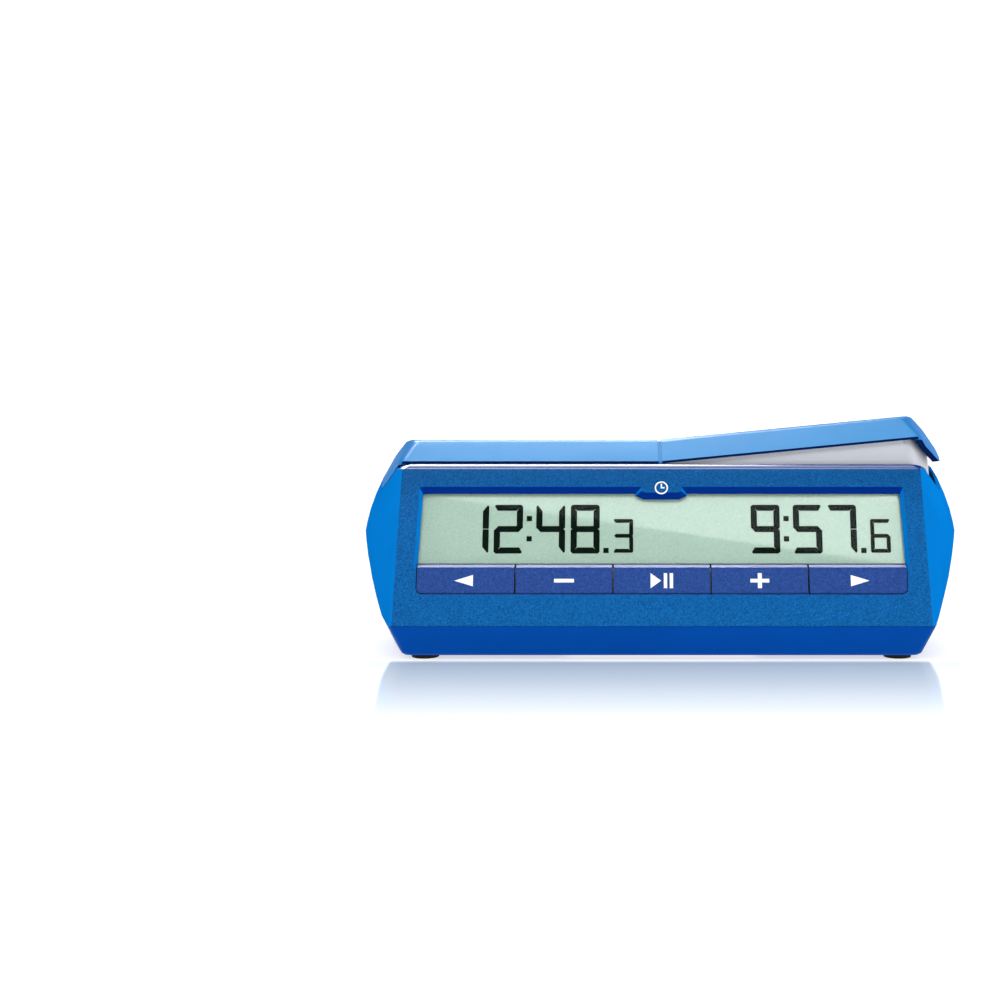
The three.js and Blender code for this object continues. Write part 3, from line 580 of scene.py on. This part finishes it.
def time_display(name, text, left):
    """Four large digits with a colon, a point and one small digit, as one flat piece."""
    outlines = []
    for symbol, offset in zip(text, DIGIT_OFFSETS):
        outlines += digit(symbol, left + offset, DIGIT_LOW, DIGIT_HIGH, DIGIT_WIDTH, STROKE)
    outlines += digit(text[4], left + SMALL_OFFSET, SMALL_LOW, SMALL_HIGH, SMALL_WIDTH, SMALL_STROKE)
    for height in COLON_HEIGHTS:
        y = DIGIT_LOW + (DIGIT_HIGH - DIGIT_LOW) * height
        outlines.append(dot(left + COLON_OFFSET, y))
    outlines.append(dot(left + POINT_OFFSET, DIGIT_LOW + STROKE * 0.5))
    flat_piece(name, outlines, GLASS_DEPTH, PRINT, ink, "display_glass")


time_display("time_left", LEFT_TIME, GROUP_LEFT_X)
time_display("time_right", RIGHT_TIME, GROUP_LEFT_X + GROUP_PITCH)


def arrow(tip, back, half):
    """A triangle with its tip at x = tip; the points run anticlockwise either way."""
    points = [(tip, 0), (back, half), (back, -half)]
    return points if tip > back else points[::-1]


SYMBOL_OUTLINES = {
    "back": [arrow(-4.1, 2.8, 2.15)],
    "forward": [arrow(4.1, -2.8, 2.15)],
    "minus": [rectangle(-3.7, 3.7, -0.7, 0.7)],
    "plus": [
        rectangle(-3.5, 3.5, -0.7, 0.7),
        rectangle(-0.75, 0.75, 0.7, 2.85),
        rectangle(-0.75, 0.75, -2.85, -0.7),
    ],
    "start": [
        arrow(-0.3, -4.2, 2.85),
        rectangle(0.7, 1.95, -2.85, 2.85),
        rectangle(2.9, 4.15, -2.85, 2.85),
    ],
}
for node, symbol in KEY_SYMBOLS.items():
    low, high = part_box(node)
    middle = (low.x + high.x) / 2 / MM
    shapes = SYMBOL_OUTLINES[symbol]
    outlines = [[(middle + x, SYMBOL_MIDDLE + y) for x, y in shape] for shape in shapes]
    flat_piece("symbol_" + symbol, outlines, 0, PRINT, print_white, node)


def ring_sectors(radius, width, count=24):
    """A thin ring as a row of four-cornered sectors."""
    def point(distance, i):
        angle = 2 * math.pi * i / count
        return (distance * math.cos(angle), MARK_MIDDLE + distance * math.sin(angle))
    inner = radius - width
    return [
        [point(inner, i), point(radius, i), point(radius, i + 1), point(inner, i + 1)]
        for i in range(count)
    ]


half_line = MARK_LINE / 2
clock_mark = ring_sectors(MARK_RADIUS, MARK_LINE) + [
    rectangle(-half_line, half_line, MARK_MIDDLE - half_line, MARK_MIDDLE + 1.6),
    rectangle(half_line, 1.2, MARK_MIDDLE - half_line, MARK_MIDDLE + half_line),
]
flat_piece("clock_mark", clock_mark, 0, PRINT, print_white, "upper_housing")


# ---------- studio ----------
def paper():
    """White light table that glows from within; in front of the clock a glossy patch, darker with
    painted shade and tinted blue with a painted reflection.
    """
    surface = Shader("studio_paper", 0.1)
    black = (0, 0, 0)
    white = (1, 1, 1)
    along = surface.range(surface.axis("Y"), 0, 1, -135 * MM, -20 * MM)
    along = surface.ramp(along, [(0.05, black), (0.9, white), (0.94, black)])
    across = surface.range(surface.axis("X"), 0, 1, -135 * MM, 135 * MM)
    across = surface.ramp(across, [(0, black), (0.1, white), (0.9, white), (1, black)])
    gloss_and_painted_shade = surface.multiply(along, across)
    speck = surface.ramp(surface.noise(400), [(0.3, (0.97, 0.97, 0.98)), (0.7, white)])
    # painted shade near the clock: the patch is darker and glows less than the rest of the table
    patch_painted_shade = surface.range(gloss_and_painted_shade, 0.52, 0.32, 0, 1)
    surface.link(surface.multiply(patch_painted_shade, speck), "Base Color")
    surface.link(surface.range(gloss_and_painted_shade, 0, 1, 0, 1), "Specular IOR Level")
    surface.link(surface.range(gloss_and_painted_shade, 0.62, 0.32, 0, 1), "Emission Strength")
    # painted reflection: the patch glows pale blue, tinting the clock's mirror image
    surface.link(surface.ramp(gloss_and_painted_shade, [(0, white), (1, (0.7, 0.93, 1))]), "Emission Color")
    surface.set("IOR", 2.2)
    return surface.material


def backdrop():
    """Pale floor that turns up into a wall far behind the clock; lengths in metres."""
    front, turn, radius, top, half_width = -4.0, 2.4, 1.2, 4.5, 6.0
    profile = [(front, 0.0), (turn, 0.0)]
    for step in range(1, 13):
        angle = math.radians(step * 7.5)
        profile.append((turn + radius * math.sin(angle), radius * (1 - math.cos(angle))))
    profile.append((turn + radius, top))
    vertices = [(x, y, z) for y, z in profile for x in (-half_width, half_width)]
    faces = [(2 * i, 2 * i + 1, 2 * i + 3, 2 * i + 2) for i in range(len(profile) - 1)]
    mesh = bpy.data.meshes.new("studio_floor")
    mesh.from_pydata(vertices, [], faces)
    mesh.shade_smooth()
    mesh.materials.append(paper())
    floor = bpy.data.objects.new("studio_floor", mesh)
    bpy.context.scene.collection.objects.link(floor)


def softbox(name, place, target, width, height, power, glossy=True, diffuse=True):
    """A rectangular area light at `place`, aimed at `target`, both in millimetres."""
    light = bpy.data.lights.new(name, "AREA")
    light.shape = "RECTANGLE"
    light.size = width * MM
    light.size_y = height * MM
    light.energy = power
    lamp = bpy.data.objects.new(name, light)
    lamp.location = Vector(place) * MM
    direction = (Vector(target) - Vector(place)).normalized()
    lamp.rotation_euler = direction.to_track_quat("-Z", "Y").to_euler()
    lamp.visible_glossy = glossy
    lamp.visible_diffuse = diffuse
    bpy.context.scene.collection.objects.link(lamp)
    return lamp


def studio_world():
    """Weak even light from everywhere."""
    world = bpy.data.worlds.new("studio")
    world.use_nodes = True
    sky = world.node_tree.nodes["Background"]
    sky.inputs["Color"].default_value = (1, 1, 1, 1)
    sky.inputs["Strength"].default_value = 0.13
    bpy.context.scene.world = world


backdrop()
studio_world()
softbox("front_softbox", (-100, -900, 1000), (0, 0, 40), 900, 500, 9.2)
softbox("low_softbox", (350, -900, 160), (0, 0, 30), 900, 300, 1.9, glossy=False)
softbox("overhead_softbox", (40, -220, 1080), (40, 0, 70), 1400, 400, 5.3, diffuse=False)
softbox("overhead_right", (330, -220, 1080), (330, 0, 70), 700, 400, 2.6, diffuse=False)
softbox("overhead_strip", (-150, 120, 520), (-150, 0, 72), 480, 300, 8, diffuse=False)
softbox("right_softbox", (900, -60, 420), (100, 0, 40), 500, 700, 4.6)
softbox("left_softbox", (-900, -60, 420), (-100, 0, 40), 500, 700, 3.5)
softbox("backdrop_lamp", (0, 1500, 1800), (0, 2600, 600), 2500, 900, 70)


# ---------- camera ----------
def front_camera():
    """Looks at the front from a little above, at the reference view's distance and framing."""
    data = bpy.data.cameras.new("camera")
    data.sensor_width = 36
    data.lens = 55.97
    data.shift_x = -0.126
    data.shift_y = 0.0358
    data.clip_start = 0.02
    data.clip_end = 50
    camera = bpy.data.objects.new("camera", data)
    aim = Vector((-13.3, 0, 44))
    distance = 600
    elevation = math.radians(5.5)
    back = Vector((0, -math.cos(elevation), math.sin(elevation)))
    camera.location = (aim + back * distance) * MM
    camera.rotation_euler = (-back).to_track_quat("-Z", "Y").to_euler()
    bpy.context.scene.collection.objects.link(camera)
    bpy.context.scene.camera = camera


def glare_card(eye):
    """A card mirrored in the window, the lower edge of its image along the window's diagonal."""
    diagonal = ((-92, 51.5), (86, 24.5))
    reach = 2.3                         # distance of the card, in distances of the window
    start, end = (FACE @ Vector((x, y, -WINDOW_DEPTH)) for x, y in diagonal)
    mirrored = eye - 2 * (eye - start).dot(face_out) * face_out
    near = mirrored + (start - mirrored) * reach
    along = (end - start) * reach
    across = face_out.cross(along.normalized())
    width, height = along.length * 1.6, 260
    card = softbox("glare_card", (0, 0, 0), (0, 0, -1), width, height, 0.56, diffuse=False)
    centre = near + along / 2 + across * height / 2
    turned = Matrix((along.normalized(), across, face_out)).transposed().to_4x4()
    card.matrix_world = Matrix.Translation(centre * MM) @ turned


front_camera()
glare_card(bpy.context.scene.camera.location / MM)
bpy.context.scene.view_settings.view_transform = "Standard"
bpy.context.scene.view_settings.look = "None"
